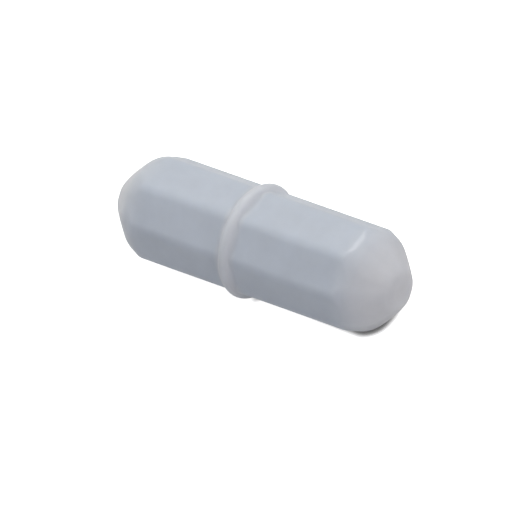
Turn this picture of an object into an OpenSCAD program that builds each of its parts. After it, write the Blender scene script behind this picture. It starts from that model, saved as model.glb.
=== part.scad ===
// Magnetic stir bar: an octagonal PTFE jacket with a pivot ring, moulded round a rod magnet.
// The bar lies along X with one flat down. The origin is on its axis, at mid-length.

/* [Bar] */
// Overall length, tip to tip
bar_len = 25.4; // [20:0.1:40]
// Width across opposite flats
across_flats = 7.9; // [7:0.1:8.2]
// Radius of the eight long edges
edge_r = 1.3; // [0.4:0.1:2.4]

/* [Ends] */
// Length of each bevel along the bar
bevel_len = 2.6; // [2:0.1:4]
// Diameter at the tip, where the bevel would meet it in a sharp corner
tip_d = 2.8; // [2:0.1:4]
// How far the middle of the bevel swells out from straight
bevel_bulge = 0.08; // [0.04:0.02:0.3]
// Radius of the shoulder, where the flats turn down into the bevel
shoulder_r = 2.3; // [0.8:0.1:2.6]
// Radius of the edge round the blunt tip
tip_edge_r = 1.4; // [0.4:0.1:1.8]
// Length along the shoulder in which the section goes from octagonal to round
round_len = 0.8; // [0.6:0.1:2]

/* [Pivot ring] */
// Diameter over the ring's crest
ring_od = 8.9; // [8.6:0.1:10]
// Radius of the ring's crest in section
crest_r = 0.55; // [0.45:0.05:1]
// Radius of the hollow fillets at the ring's feet
foot_r = 1.0; // [0.4:0.1:1.6]
// Ring's distance from mid-length, towards -X
ring_offset = 0.7; // [0:0.1:2]

/* [Magnet] */
// PTFE thickness between the magnet and the middle of a flat
wall = 1.3; // [0.8:0.1:2]
// PTFE thickness between the magnet's end and the tip
end_wall = 3.0; // [2.4:0.1:5]
// Chamfer on the magnet's end edges
magnet_chamfer = 0.3; // [0.1:0.1:0.6]
// Gap all round the magnet, from the play of the press that closed the jacket
fit_gap = 0.02; // [0.01:0.01:0.1]

/* [Hidden] */

SIDES = 8;
EDGE_STEPS = 6;      // facets round each long edge
SHOULDER_STEPS = 6;  // facets round the shoulder
BEVEL_STEPS = 2;     // facets down the bevel
TIP_STEPS = 6;       // facets round the tip's edge
ROUNDEST = 0.75;     // edge radius as a share of the section's size, where it has gone round
FOOT_DIP = 0.03;     // the ring's fillets start this far under the flats
RING_ROOT = 0.6;     // depth to which the ring's own section reaches into the bar

half_len = bar_len / 2;
apothem = across_flats / 2;
tip_r = tip_d / 2;
ring_r = ring_od / 2;
cavity_r = apothem - wall;
cavity_len = bar_len - 2 * end_wall;
magnet_r = cavity_r - fit_gap;
magnet_len = cavity_len - 2 * fit_gap;

// Points on an arc of radius r about a centre, as its outward direction turns from one angle to another.
function arc(centre, r, from, to, steps) = [
    for (i = [0 : steps])
        let (turn = from + (to - from) * i / steps)
        centre + r * [sin(turn), cos(turn)]
];

// Drops the first point of a line that starts where another ends.
function without_first(line) = [for (i = [1 : len(line) - 1]) line[i]];

// The bevel's side line is an arc through its two sharp corners, which swells out by bevel_bulge.
bevel_top = [half_len - bevel_len, apothem];
bevel_foot = [half_len, tip_r];
bevel_chord = norm(bevel_foot - bevel_top);
bevel_slope = atan((apothem - tip_r) / bevel_len);
bevel_r = bevel_chord * bevel_chord / (8 * bevel_bulge) + bevel_bulge / 2;
bevel_centre = (bevel_top + bevel_foot) / 2
    - (bevel_r - bevel_bulge) * [sin(bevel_slope), cos(bevel_slope)];

// The shoulder touches the flats and the bevel, and the tip's edge touches the bevel and the tip.
shoulder_y = apothem - shoulder_r;
shoulder_x = bevel_centre[0] + sqrt(pow(bevel_r - shoulder_r, 2) - pow(shoulder_y - bevel_centre[1], 2));
shoulder_turn = atan2(shoulder_x - bevel_centre[0], shoulder_y - bevel_centre[1]);
tip_x = half_len - tip_edge_r;
tip_y = bevel_centre[1] + sqrt(pow(bevel_r - tip_edge_r, 2) - pow(tip_x - bevel_centre[0], 2));
tip_turn = atan2(tip_x - bevel_centre[0], tip_y - bevel_centre[1]);

// Side line of one end, from the flats to the tip, as [distance along the bar, half the size across the flats].
shoulder_line = arc([shoulder_x, shoulder_y], shoulder_r, 0, shoulder_turn, SHOULDER_STEPS);
bevel_line = arc(bevel_centre, bevel_r, shoulder_turn, tip_turn, BEVEL_STEPS);
tip_line = arc([tip_x, tip_y], tip_edge_r, tip_turn, 90, TIP_STEPS);
end_line = concat(shoulder_line, without_first(bevel_line), without_first(tip_line));

// One section across the bar at x: an octagon of size a, with edges of radius r.
function section(x, a, r) = [
    for (side = [0 : SIDES - 1], step = [0 : EDGE_STEPS])
        let (
            edge_at = (side + 0.5) * 360 / SIDES,
            edge_dist = (a - r) / cos(180 / SIDES),
            turn = (side + step / EDGE_STEPS) * 360 / SIDES
        )
        [
            x,
            edge_dist * cos(edge_at) + r * cos(turn),
            edge_dist * sin(edge_at) + r * sin(turn)
        ]
];

// How round the section has gone at p, from 0 at the start of the shoulder to 1 a round_len past it.
function roundness(p) = min((p[0] - shoulder_x) / round_len, 1);

// The section at a point of the end line. Its edges grow rounder down the shoulder.
function end_section(p, s) =
    let (r = edge_r + (ROUNDEST * p[1] - edge_r) * roundness(p))
    section(s * p[0], p[1], min(r, ROUNDEST * p[1]));

// A solid through a row of sections that all have the same number of points.
module loft(sections) {
    n = len(sections[0]);
    last = len(sections) - 1;
    points = [for (s = sections, p = s) p];
    sides = [
        for (k = [0 : last - 1], i = [0 : n - 1])
            let (j = (i + 1) % n)
            [k * n + i, (k + 1) * n + i, (k + 1) * n + j, k * n + j]
    ];
    start_cap = [for (i = [0 : n - 1]) i];
    end_cap = [for (i = [n - 1 : -1 : 0]) last * n + i];
    polyhedron(points, concat([start_cap], sides, [end_cap]), convexity = 4);
}

module octagonal_bar() {
    m = len(end_line) - 1;
    loft([
        for (i = [m : -1 : 0]) end_section(end_line[i], -1),
        for (i = [0 : m]) end_section(end_line[i], 1)
    ]);
}

// Section of the ring: a round crest that runs out into the flats through two hollow fillets.
module ring_section() {
    crest_y = ring_r - crest_r;
    fillet_y = apothem + foot_r - FOOT_DIP;
    reach = crest_r + foot_r;
    fillet_x = sqrt(reach * reach - pow(fillet_y - crest_y, 2));
    touch_y = crest_y + (fillet_y - crest_y) * crest_r / reach;
    inner_y = apothem - RING_ROOT;
    difference() {
        union() {
            translate([0, crest_y])
                circle(crest_r, $fn = 64);
            translate([-fillet_x, inner_y])
                square([2 * fillet_x, touch_y - inner_y]);
        }
        for (s = [-1, 1])
            translate([s * fillet_x, fillet_y])
                circle(foot_r, $fn = 64);
    }
}

module pivot_ring() {
    translate([-ring_offset, 0, 0])
        rotate([0, 90, 0])
            rotate_extrude($fn = 128)
                rotate(-90)
                    ring_section();
}

module ptfe_jacket() {
    color("#cfd3da")
        difference() {
            union() {
                octagonal_bar();
                pivot_ring();
            }
            rotate([0, 90, 0])
                cylinder(h = cavity_len, r = cavity_r, center = true, $fn = 96);
        }
}

module magnet_core() {
    core_line = [
        [0, -magnet_len / 2],
        [magnet_r - magnet_chamfer, -magnet_len / 2],
        [magnet_r, -magnet_len / 2 + magnet_chamfer],
        [magnet_r, magnet_len / 2 - magnet_chamfer],
        [magnet_r - magnet_chamfer, magnet_len / 2],
        [0, magnet_len / 2]
    ];
    color("#6e7276")
        rotate([0, 90, 0])
            rotate_extrude($fn = 96)
                polygon(core_line);
}

ptfe_jacket();
magnet_core();
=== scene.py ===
"""Octagonal stir bar: a PTFE jacket with a pivot ring, moulded round a rod magnet.

The jacket is drawn again here as one smooth closed skin of the same form, with the magnet's
pocket inside. Sizes are written in millimetres, and MM turns them into the frame's metres.
"""

from math import atan2, cos, pi, radians, sin, sqrt, tan

import bpy
from mathutils import Matrix, Vector


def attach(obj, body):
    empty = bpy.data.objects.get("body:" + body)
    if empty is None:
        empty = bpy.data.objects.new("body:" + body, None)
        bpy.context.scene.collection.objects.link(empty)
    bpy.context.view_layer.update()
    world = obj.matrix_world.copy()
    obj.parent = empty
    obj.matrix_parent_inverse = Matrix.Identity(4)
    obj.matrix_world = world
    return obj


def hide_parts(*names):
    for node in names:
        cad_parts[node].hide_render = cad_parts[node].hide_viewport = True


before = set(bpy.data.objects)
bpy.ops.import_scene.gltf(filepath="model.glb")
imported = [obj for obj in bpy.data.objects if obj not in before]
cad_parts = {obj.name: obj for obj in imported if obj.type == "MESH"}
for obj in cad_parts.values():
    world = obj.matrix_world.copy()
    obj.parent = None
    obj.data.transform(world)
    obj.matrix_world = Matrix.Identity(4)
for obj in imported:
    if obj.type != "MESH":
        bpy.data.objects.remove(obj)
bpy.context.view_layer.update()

scene = bpy.context.scene

MM = 0.001

# Bar
BAR_LEN = 25.4          # tip to tip
ACROSS_FLATS = 7.9
EDGE_R = 1.3            # the eight long edges
SIDES = 8

# Ends
BEVEL_LEN = 2.6         # along the bar, between the bevel's sharp corners
TIP_D = 2.8             # where the bevel would meet the tip in a sharp corner
BEVEL_BULGE = 0.08      # swell of the bevel's middle
SHOULDER_R = 2.3
TIP_EDGE_R = 1.4
ROUND_LEN = 0.8         # the section goes from octagonal to round in this length of the shoulder
ROUNDEST = 0.75         # edge radius as a share of the section's size, where it has gone round

# Pivot ring
RING_OD = 8.9
RING_AT = -0.7          # along the bar, from mid-length
CREST_R = 0.55
FOOT_R = 1.0
FOOT_DIP = 0.03         # the fillets start this far under the flats
MELT = 0.08             # where ring and bar meet at an angle, the corner is filled over this height

# Magnet's pocket
POCKET_R = 2.65
POCKET_LEN = 19.4

# How finely the skin is drawn
AROUND = 256            # points round the bar
POCKET_AROUND = 96
BAR_STEP = 0.3          # between sections along the flats
RING_STEP = 0.035       # between sections across the ring
RING_MARGIN = 0.1       # the fine sections go on this far past the ring's feet
END_STEP = 0.06         # between sections down the end
POCKET_STEP = 1.0       # between sections along the pocket

HALF = BAR_LEN / 2
APOTHEM = ACROSS_FLATS / 2
HALF_SIDE = pi / SIDES


# ---------------------------------------------------------------- jacket

def arc(x, a, radius, start, stop):
    """Points on an arc round (x, a), as its outward direction turns from start to stop."""
    steps = max(4, int(radius * (stop - start) / END_STEP))
    turns = [start + (stop - start) * i / steps for i in range(steps + 1)]
    return [(x + radius * sin(turn), a + radius * cos(turn)) for turn in turns]


def end_line():
    """Side line of one end as (along the bar, half the size across the flats), from flats to tip."""
    drop = APOTHEM - TIP_D / 2
    bevel_r = (BEVEL_LEN ** 2 + drop ** 2) / (8 * BEVEL_BULGE) + BEVEL_BULGE / 2
    slope = atan2(drop, BEVEL_LEN)
    bevel_x = HALF - BEVEL_LEN / 2 - (bevel_r - BEVEL_BULGE) * sin(slope)
    bevel_a = (APOTHEM + TIP_D / 2) / 2 - (bevel_r - BEVEL_BULGE) * cos(slope)

    # The shoulder touches the flats and the bevel, and the tip's edge touches the bevel and the tip.
    shoulder_a = APOTHEM - SHOULDER_R
    shoulder_x = bevel_x + sqrt((bevel_r - SHOULDER_R) ** 2 - (shoulder_a - bevel_a) ** 2)
    shoulder_turn = atan2(shoulder_x - bevel_x, shoulder_a - bevel_a)
    tip_x = HALF - TIP_EDGE_R
    tip_a = bevel_a + sqrt((bevel_r - TIP_EDGE_R) ** 2 - (tip_x - bevel_x) ** 2)
    tip_turn = atan2(tip_x - bevel_x, tip_a - bevel_a)

    line = arc(shoulder_x, shoulder_a, SHOULDER_R, 0.0, shoulder_turn)
    line += arc(bevel_x, bevel_a, bevel_r, shoulder_turn, tip_turn)[1:]
    line += arc(tip_x, tip_a, TIP_EDGE_R, tip_turn, pi / 2)[1:]
    rings = max(3, int(tip_a / (2 * END_STEP)))
    line += [(HALF, tip_a * (1 - i / rings)) for i in range(1, rings)]
    return line


def octagon_radius(angle, a, edge_r):
    """Distance from the axis to the outline of an octagon of half size a with rounded edges."""
    off_flat = abs((angle + HALF_SIDE) % (2 * HALF_SIDE) - HALF_SIDE)
    centre = (a - edge_r) / cos(HALF_SIDE)
    if a * tan(off_flat) <= centre * sin(HALF_SIDE):
        return a / cos(off_flat)
    off_edge = HALF_SIDE - off_flat
    return centre * cos(off_edge) + sqrt(edge_r ** 2 - (centre * sin(off_edge)) ** 2)


def ring_radius(x, bare):
    """Distance from the axis to the bar with its ring, where the bare bar is at bare."""
    u = abs(x - RING_AT)
    crest_y = RING_OD / 2 - CREST_R
    foot_y = APOTHEM + FOOT_R - FOOT_DIP
    reach = CREST_R + FOOT_R
    foot_x = sqrt(reach ** 2 - (foot_y - crest_y) ** 2)
    if u >= foot_x:
        return bare
    if u <= foot_x * CREST_R / reach:
        ring = crest_y + sqrt(CREST_R ** 2 - u ** 2)
    else:
        ring = foot_y - sqrt(FOOT_R ** 2 - (foot_x - u) ** 2)
    gap = abs(ring - bare)
    return max(ring, bare) + max(MELT - gap, 0.0) ** 2 / (4 * MELT)


def edge_radius(past, a):
    """Edge radius of a section of half size a, this far past the start of the shoulder."""
    t = min(max(past / ROUND_LEN, 0.0), 1.0)
    roundness = t * t * (3 - 2 * t)
    return min(EDGE_R + (ROUNDEST * a - EDGE_R) * roundness, ROUNDEST * a)


def spaced(start, stop, step):
    """Even places from start up to, but without, stop."""
    count = max(1, round((stop - start) / step))
    return [start + (stop - start) * i / count for i in range(count)]


def jacket_sections():
    """Sections along the bar as (place, half size across the flats, edge radius)."""
    end = end_line()
    shoulder = end[0][0]
    near_ring = CREST_R + FOOT_R + RING_MARGIN
    flats = spaced(-shoulder, RING_AT - near_ring, BAR_STEP)[1:]
    flats += spaced(RING_AT - near_ring, RING_AT + near_ring, RING_STEP)
    flats += spaced(RING_AT + near_ring, shoulder, BAR_STEP)
    sections = [(-x, a, edge_radius(x - shoulder, a)) for x, a in reversed(end)]
    sections += [(x, APOTHEM, EDGE_R) for x in flats]
    sections += [(x, a, edge_radius(x - shoulder, a)) for x, a in end]
    return sections


def around(x, radii):
    """Points round the bar at x, one for each distance from the axis."""
    turns = [2 * pi * i / len(radii) for i in range(len(radii))]
    return [(x, radius * cos(turn), radius * sin(turn)) for radius, turn in zip(radii, turns)]


def closed_skin(rings, start, stop):
    """Points and faces of a skin through rings, closed on the axis at start and at stop."""
    count = len(rings[0])
    last = len(rings) - 1
    points = [point for ring in rings for point in ring]
    points += [(start, 0.0, 0.0), (stop, 0.0, 0.0)]
    low = len(points) - 2
    high = len(points) - 1
    faces = []
    for k in range(last):
        for i in range(count):
            j = (i + 1) % count
            faces.append((k * count + i, k * count + j, (k + 1) * count + j, (k + 1) * count + i))
    for i in range(count):
        j = (i + 1) % count
        faces.append((low, j, i))
        faces.append((high, last * count + i, last * count + j))
    return points, faces


def jacket_mesh():
    """The jacket's outside, and inside it the magnet's pocket with its faces turned inwards."""
    outside = []
    for x, a, edge_r in jacket_sections():
        bare = [octagon_radius(2 * pi * i / AROUND, a, edge_r) for i in range(AROUND)]
        outside.append(around(x, [ring_radius(x, radius) for radius in bare]))
    points, faces = closed_skin(outside, -HALF, HALF)

    end = POCKET_LEN / 2
    pocket = [around(x, [POCKET_R] * POCKET_AROUND) for x in spaced(-end, end, POCKET_STEP) + [end]]
    pocket_points, pocket_faces = closed_skin(pocket, -end, end)
    base = len(points)
    points += pocket_points
    faces += [tuple(base + i for i in reversed(face)) for face in pocket_faces]

    mesh = bpy.data.meshes.new("jacket_skin")
    mesh.from_pydata([(x * MM, y * MM, z * MM) for x, y, z in points], [], faces)
    mesh.validate()
    mesh.polygons.foreach_set("use_smooth", [True] * len(mesh.polygons))
    mesh.update()
    return mesh


# ---------------------------------------------------------------- materials

OVER_MAGNET = "#c6ceda"     # PTFE with the grey metal behind it
SOLID_PTFE = "#d9dce2"
MAGNET_FADES = 8.3          # from mid-length: here the metal starts to show less
MAGNET_GONE = 12.0          # and here the white is that of solid PTFE
RING_WHITE = 0.4            # from the ring's middle: its white is even up to here
RING_FADES = 1.1            # and has gone into that of the flats here
RING_SOLID_AND_LIT = 0.7            # how near the ring's white comes to that of solid PTFE: partly its thicker PTFE, partly painted light for the light its round crest catches
CUT_END = 9.65              # from mid-length: past this is the magnet's cut end


def colour(hex_code):
    """An sRGB hex colour as linear RGBA."""
    values = [int(hex_code[i:i + 2], 16) / 255 for i in (1, 3, 5)]
    linear = [v / 12.92 if v <= 0.04045 else ((v + 0.055) / 1.055) ** 2.4 for v in values]
    return (*linear, 1.0)


def node(tree, kind, settings=None, sockets=None):
    """Adds a node. A socket takes a plain value, or a pair of another node and one of its outputs."""
    added = tree.nodes.new(kind)
    for key, value in (settings or {}).items():
        setattr(added, key, value)
    for key, value in (sockets or {}).items():
        if isinstance(value, tuple) and isinstance(value[0], bpy.types.Node):
            tree.links.new(value[0].outputs[value[1]], added.inputs[key])
        else:
            added.inputs[key].default_value = value
    return added


def new_material(name):
    mat = bpy.data.materials.new(name)
    mat.use_nodes = True
    mat.node_tree.nodes.clear()
    return mat, mat.node_tree


def moulded_ptfe():
    """White PTFE powder, pressed and sintered round the magnet in a polished steel mould.

    The milky body lets light in and gives it back softened, so edges look waxy. Where only a thin
    wall covers the grey metal, the white is cooler and a little darker than in the solid ends. The
    ring is lighter too, partly for its thicker PTFE and partly as painted light for the light its round
    crest catches. The mould leaves a satin skin with a faint sheen, and the flats come out of the
    sintering oven slightly uneven.
    """
    mat, tree = new_material("moulded_ptfe")
    spot = node(tree, "ShaderNodeTexCoord")
    axes = node(tree, "ShaderNodeSeparateXYZ", None, {"Vector": (spot, "Object")})

    # How much solid PTFE lies below the skin: all of it at the ends. The ring is lightened too, partly for
    # its thicker PTFE and partly as painted light for the light its round crest catches.
    from_middle = node(tree, "ShaderNodeMath", {"operation": "ABSOLUTE"}, {0: (axes, "X")})
    solid_end = node(tree, "ShaderNodeMapRange", {"interpolation_type": "SMOOTHSTEP"}, {
        "Value": (from_middle, "Value"),
        "From Min": MAGNET_FADES * MM,
        "From Max": MAGNET_GONE * MM,
    })
    to_ring = node(tree, "ShaderNodeMath", {"operation": "SUBTRACT"}, {
        0: (axes, "X"),
        1: RING_AT * MM,
    })
    from_ring = node(tree, "ShaderNodeMath", {"operation": "ABSOLUTE"}, {0: (to_ring, "Value")})
    ring_solid_and_lit = node(tree, "ShaderNodeMapRange", {"interpolation_type": "SMOOTHSTEP"}, {
        "Value": (from_ring, "Value"),
        "From Min": RING_FADES * MM,
        "From Max": RING_WHITE * MM,
        "To Max": RING_SOLID_AND_LIT,
    })
    # Whiter at the solid ends, and in the ring, where the whiter tone is partly painted light.
    solid = node(tree, "ShaderNodeMath", {"operation": "MAXIMUM"}, {
        0: (solid_end, "Result"),
        1: (ring_solid_and_lit, "Result"),
    })
    milk = node(tree, "ShaderNodeMix", {"data_type": "RGBA"}, {
        "Factor": (solid, "Value"),
        6: colour(OVER_MAGNET),
        7: colour(SOLID_PTFE),
    })

    # Faint clouds in the sintered powder, 2.5 mm apart.
    clouds = node(tree, "ShaderNodeTexNoise", None, {
        "Vector": (spot, "Object"),
        "Scale": 0.4 / MM,
        "Detail": 3.0,
        "Roughness": 0.6,
    })
    shade = node(tree, "ShaderNodeMapRange", None, {
        "Value": (clouds, "Fac"),
        "From Min": 0.3,
        "From Max": 0.7,
        "To Min": 0.965,
        "To Max": 1.035,
    })
    cloudy = node(tree, "ShaderNodeVectorMath", {"operation": "SCALE"}, {
        0: (milk, 2),
        "Scale": (shade, "Result"),
    })

    # Satin patches in the skin, a little under 1 mm apart.
    patches = node(tree, "ShaderNodeTexNoise", None, {
        "Vector": (spot, "Object"),
        "Scale": 1.3 / MM,
        "Detail": 2.0,
    })
    satin = node(tree, "ShaderNodeMapRange", None, {
        "Value": (patches, "Fac"),
        "From Min": 0.3,
        "From Max": 0.7,
        "To Min": 0.29,
        "To Max": 0.34,
    })

    # The flats swell and sink by hundredths of a millimetre, 3 mm apart.
    swell = node(tree, "ShaderNodeTexNoise", None, {
        "Vector": (spot, "Object"),
        "Scale": 0.33 / MM,
        "Detail": 1.0,
    })
    uneven = node(tree, "ShaderNodeBump", None, {
        "Height": (swell, "Fac"),
        "Strength": 1.0,
        "Distance": 0.06 * MM,
    })

    # Light goes about half a millimetre into the milky body.
    shader = node(tree, "ShaderNodeBsdfPrincipled", None, {
        "Base Color": (cloudy, "Vector"),
        "Roughness": (satin, "Result"),
        "IOR": 1.35,
        "Specular IOR Level": 0.4,
        "Normal": (uneven, "Normal"),
        "Subsurface Weight": 1.0,
        "Subsurface Radius": (1.0, 1.0, 1.0),
        "Subsurface Scale": 0.6 * MM,
    })
    node(tree, "ShaderNodeOutputMaterial", None, {"Surface": (shader, "BSDF")})
    return mat


def ground_alnico():
    """Cast Alnico rod, ground to size on its side and cut off square.

    The casting's coarse crystals show as faint patches of lighter and darker grey. The grinding
    wheel has left fine marks round the rod, and the cut ends are rougher and duller.
    """
    mat, tree = new_material("ground_alnico")
    spot = node(tree, "ShaderNodeTexCoord")
    axes = node(tree, "ShaderNodeSeparateXYZ", None, {"Vector": (spot, "Object")})

    # Crystals of about 1 mm.
    crystals = node(tree, "ShaderNodeTexVoronoi", None, {
        "Vector": (spot, "Object"),
        "Scale": 0.9 / MM,
    })
    each = node(tree, "ShaderNodeSeparateColor", None, {"Color": (crystals, "Color")})
    metal = node(tree, "ShaderNodeMix", {"data_type": "RGBA"}, {
        "Factor": (each, "Red"),
        6: colour("#a9a8a5"),
        7: colour("#b3b2ae"),
    })

    # Grinding marks, drawn 0.1 mm apart, which is coarser than real ones.
    marks = node(tree, "ShaderNodeTexNoise", {"noise_dimensions": "1D"}, {
        "W": (axes, "X"),
        "Scale": 9.0 / MM,
        "Detail": 3.0,
        "Roughness": 0.7,
    })
    from_middle = node(tree, "ShaderNodeMath", {"operation": "ABSOLUTE"}, {0: (axes, "X")})
    cut_end = node(tree, "ShaderNodeMath", {"operation": "GREATER_THAN"}, {
        0: (from_middle, "Value"),
        1: CUT_END * MM,
    })
    polish = node(tree, "ShaderNodeMapRange", None, {
        "Value": (marks, "Fac"),
        "From Min": 0.3,
        "From Max": 0.7,
        "To Min": 0.28,
        "To Max": 0.42,
    })
    roughness = node(tree, "ShaderNodeMix", {"data_type": "FLOAT"}, {
        "Factor": (cut_end, "Value"),
        2: (polish, "Result"),
        3: 0.55,
    })

    # The cut: straight scratches across the end, drawn 0.2 mm apart, which is coarser than real ones.
    scratches = node(tree, "ShaderNodeTexNoise", {"noise_dimensions": "1D"}, {
        "W": (axes, "Y"),
        "Scale": 5.0 / MM,
        "Detail": 3.0,
    })
    height = node(tree, "ShaderNodeMix", {"data_type": "FLOAT"}, {
        "Factor": (cut_end, "Value"),
        2: (marks, "Fac"),
        3: (scratches, "Fac"),
    })
    relief = node(tree, "ShaderNodeBump", None, {
        "Height": (height, 0),
        "Strength": 0.6,
        "Distance": 0.01 * MM,
    })

    shader = node(tree, "ShaderNodeBsdfPrincipled", None, {
        "Base Color": (metal, 2),
        "Metallic": 1.0,
        "Roughness": (roughness, 0),
        "Normal": (relief, "Normal"),
    })
    node(tree, "ShaderNodeOutputMaterial", None, {"Surface": (shader, "BSDF")})
    return mat


# ---------------------------------------------------------------- parts

jacket = bpy.data.objects.new("jacket", jacket_mesh())
jacket.data.materials.append(moulded_ptfe())
scene.collection.objects.link(jacket)
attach(jacket, "root")
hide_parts("ptfe_jacket")

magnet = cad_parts["magnet_core"]
magnet.data.materials.clear()
magnet.data.materials.append(ground_alnico())


# ---------------------------------------------------------------- camera

VIEW_TURN = 32.0            # degrees, the bar's axis towards the viewer
VIEW_ROLL = 19.52           # degrees, by which the bar's axis dips in the view
VIEW_ABOVE = 53.2           # degrees, about the bar's own axis
DISTANCE = 1600.0
PIXELS = 512
PX_PER_MM = 13.456          # at the bar
CENTRE = (264.67, 243.66)   # pixels, where the bar's middle comes in the view
SENSOR = 36.0


def camera_frame():
    """The camera's right, up and back directions and its place, in the part's frame."""
    turn = radians(VIEW_TURN)
    roll = radians(VIEW_ROLL)
    above = radians(VIEW_ABOVE)
    about_bar = Matrix(((1, 0, 0), (0, cos(above), -sin(above)), (0, sin(above), cos(above))))
    to_view = Matrix(((1, 0, 0), (0, 0, -1), (0, 1, 0)))
    turned = Matrix(((cos(turn), 0, sin(turn)), (0, 1, 0), (-sin(turn), 0, cos(turn))))
    rolled = Matrix(((cos(roll), -sin(roll), 0), (sin(roll), cos(roll), 0), (0, 0, 1)))
    to_part = (rolled @ turned @ to_view @ about_bar).transposed()
    aside = (CENTRE[0] - PIXELS / 2) / PX_PER_MM
    below = (CENTRE[1] - PIXELS / 2) / PX_PER_MM
    place = -(to_part @ Vector((aside, below, DISTANCE))) * MM
    axes = [to_part @ Vector(axis) for axis in ((1, 0, 0), (0, -1, 0), (0, 0, -1))]
    return Matrix(axes).transposed(), place


camera_axes, camera_place = camera_frame()
lens = bpy.data.cameras.new("camera")
lens.sensor_width = SENSOR
lens.lens = PX_PER_MM * DISTANCE * SENSOR / PIXELS
lens.clip_start = 0.1
lens.clip_end = 100.0
camera = bpy.data.objects.new("camera", lens)
camera.matrix_world = Matrix.Translation(camera_place) @ camera_axes.to_4x4()
scene.collection.objects.link(camera)
scene.camera = camera


# ---------------------------------------------------------------- floor

FLOOR_REACH = 600.0         # from its middle to each side
FLOOR_GAP = 0.02            # between the bar and the floor, so that the two don't touch
PAINTED_SHADOW_REACH = 0.54         # painted shadow: the board darkens where the bar is nearer than this


def shown_white(tree, mirrored):
    """1 for rays from the camera or through clear things, mirrored for reflections, 0 for others."""
    path = node(tree, "ShaderNodeLightPath")
    direct = node(tree, "ShaderNodeMath", {"operation": "MAXIMUM"}, {
        0: (path, "Is Camera Ray"),
        1: (path, "Is Transmission Ray"),
    })
    return node(tree, "ShaderNodeMath", {"operation": "MULTIPLY_ADD"}, {
        0: (path, "Is Glossy Ray"),
        1: mirrored,
        2: (direct, "Value"),
    })


def matt_white_floor():
    """White studio board, bright enough to show white, with a painted contact shadow: its colour and its
    glow are darkened where the bar all but touches it, by nearness to the bar and not by light.

    In reflections the lamps' light on the board counts too, so its glow is only a part there.
    """
    mat, tree = new_material("matt_white_floor")
    shown = shown_white(tree, 0.3)
    # Painted shadow: nearness to the bar darkens the board's colour.
    painted_contact_shadow = node(tree, "ShaderNodeAmbientOcclusion", {"samples": 16}, {
        "Color": colour("#cccccc"),
        "Distance": PAINTED_SHADOW_REACH * MM,
    })
    board = node(tree, "ShaderNodeBsdfDiffuse", None, {"Color": (painted_contact_shadow, "Color")})
    # Painted shadow: the board's glow fades out where the bar is near.
    clear = node(tree, "ShaderNodeMapRange", None, {
        "Value": (painted_contact_shadow, "AO"),
        "From Min": 0.4,
        "From Max": 0.97,
        "To Min": 0.1,
    })
    amount = node(tree, "ShaderNodeMath", {"operation": "MULTIPLY"}, {
        0: (shown, "Value"),
        1: (clear, "Result"),
    })
    glow = node(tree, "ShaderNodeEmission", None, {"Strength": (amount, "Value")})
    both = node(tree, "ShaderNodeAddShader", None, {
        0: (board, "BSDF"),
        1: (glow, "Emission"),
    })
    node(tree, "ShaderNodeOutputMaterial", None, {"Surface": (both, "Shader")})
    return mat


# The bar rests on its ring and on the lower edge of its +X end, so the floor leans to meet both.
ring_low = Vector((RING_AT, 0, -RING_OD / 2)) * MM
end_low = Vector((end_line()[0][0], 0, -APOTHEM)) * MM
lean = atan2(end_low.z - ring_low.z, end_low.x - ring_low.x)
middle = ring_low - Vector((0, 0, FLOOR_GAP * MM))
far = FLOOR_REACH * MM
floor_mesh = bpy.data.meshes.new("floor")
floor_mesh.from_pydata([(-far, -far, 0), (far, -far, 0), (far, far, 0), (-far, far, 0)], [], [(0, 1, 2, 3)])
floor_mesh.materials.append(matt_white_floor())
floor = bpy.data.objects.new("floor", floor_mesh)
floor.matrix_world = Matrix.Translation(middle) @ Matrix.Rotation(-lean, 4, "Y")
scene.collection.objects.link(floor)


# ---------------------------------------------------------------- light

# Name, direction from the bar, distance, width, power in watts and colour.
SOFTBOXES = (
    ("overhead", (0.0, 0.1, 1.0), 600, 500, 0.96, "#fffcf0"),
    ("overhead_left", (-0.5, 0.1, 1.0), 250, 250, 0.17, "#fffcf0"),
    ("high_right", (0.8, 0.1, 0.6), 600, 400, 0.44, "#ffffff"),
    ("front_left", (-0.4, -0.85, 0.12), 250, 250, 0.15, "#ffffff"),
    ("back", (-0.1, 1.0, 0.7), 600, 500, 0.1, "#ffffff"),
    ("right", (1.0, -0.15, 0.25), 600, 400, 0.95, "#fff4ee"),
    ("window", (-0.29, 0.508, 0.81), 600, 100, 0.75, "#ffffff"),
)

for name, direction, distance, width, power, tint in SOFTBOXES:
    lamp = bpy.data.lights.new(name, "AREA")
    lamp.shape = "SQUARE"
    lamp.size = width * MM
    lamp.energy = power
    lamp.color = colour(tint)[:3]
    toward = Vector(direction).normalized()
    softbox = bpy.data.objects.new(name, lamp)
    softbox.location = toward * distance * MM
    softbox.rotation_mode = "QUATERNION"
    softbox.rotation_quaternion = toward.to_track_quat("Z", "Y")
    scene.collection.objects.link(softbox)

# A dim room, slightly blue, which shows as white behind the bar and in what reflects it.
world = bpy.data.worlds.new("studio")
world.use_nodes = True
air = world.node_tree
air.nodes.clear()
room = node(air, "ShaderNodeBackground", None, {
    "Color": colour("#e6eaff"),
    "Strength": 0.15,
})
seen = node(air, "ShaderNodeBackground", None, {
    "Color": colour("#ffffff"),
    "Strength": 1.0,
})
pick = node(air, "ShaderNodeMixShader", None, {
    0: (shown_white(air, 1.0), "Value"),
    1: (room, "Background"),
    2: (seen, "Background"),
})
node(air, "ShaderNodeOutputWorld", None, {"Surface": (pick, "Shader")})
scene.world = world

scene.view_settings.view_transform = "Standard"
